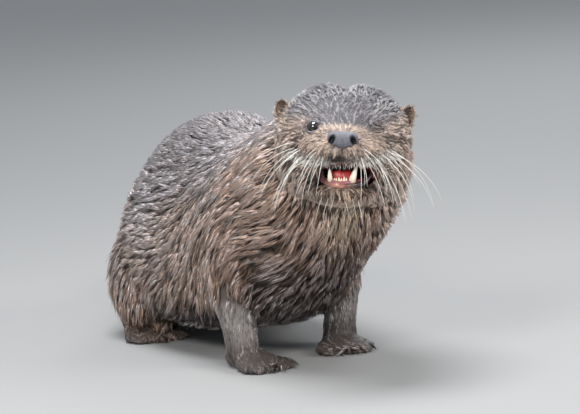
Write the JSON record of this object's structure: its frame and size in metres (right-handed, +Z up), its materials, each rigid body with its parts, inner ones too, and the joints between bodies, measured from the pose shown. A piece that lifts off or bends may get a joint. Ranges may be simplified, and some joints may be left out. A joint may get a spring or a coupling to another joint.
{
  "type": "eurasian otter",
  "caption": "Life-size still model of a crouching Eurasian otter, head raised and turned to its right, mouth open, tail laid on the ground.",
  "frame": {"origin": "centre of the animal's outline on the ground, at the level of the soles", "axes": "+Z up, -Y the way the trunk heads, +X the animal's left"},
  "size_m": [0.2157, 0.8528, 0.2453],
  "materials": {
    "head_coat": "short damp fur",
    "body_coat": "wet clumped guard hair",
    "leg_coat": "short sleek fur",
    "feet": "damp skin with sparse hair",
    "nose_skin": "moist bare skin",
    "mouth_flesh": "wet",
    "eyes": "glossy"
  },
  "bodies": {
    "root": {"head": "head_coat", "lower_jaw": "head_coat", "tongue": "mouth_flesh", "nose": "nose_skin", "eye_right": "eyes", "eye_left": "eyes", "ear_right": "head_coat", "ear_left": "head_coat", "neck": "body_coat", "chest": "body_coat", "loin": "body_coat", "rump": "body_coat", "upper_arm_right": "body_coat", "upper_arm_left": "body_coat", "forearm_right": "leg_coat", "forearm_left": "leg_coat", "forefoot_right": "feet", "forefoot_left": "feet", "thigh_right": "body_coat", "thigh_left": "body_coat", "shank_right": "leg_coat", "shank_left": "leg_coat", "hindfoot_right": "feet", "hindfoot_left": "feet", "tail_1": "body_coat", "tail_2": "body_coat", "tail_3": "body_coat", "tail_4": "body_coat"}
  },
  "joints": []
}
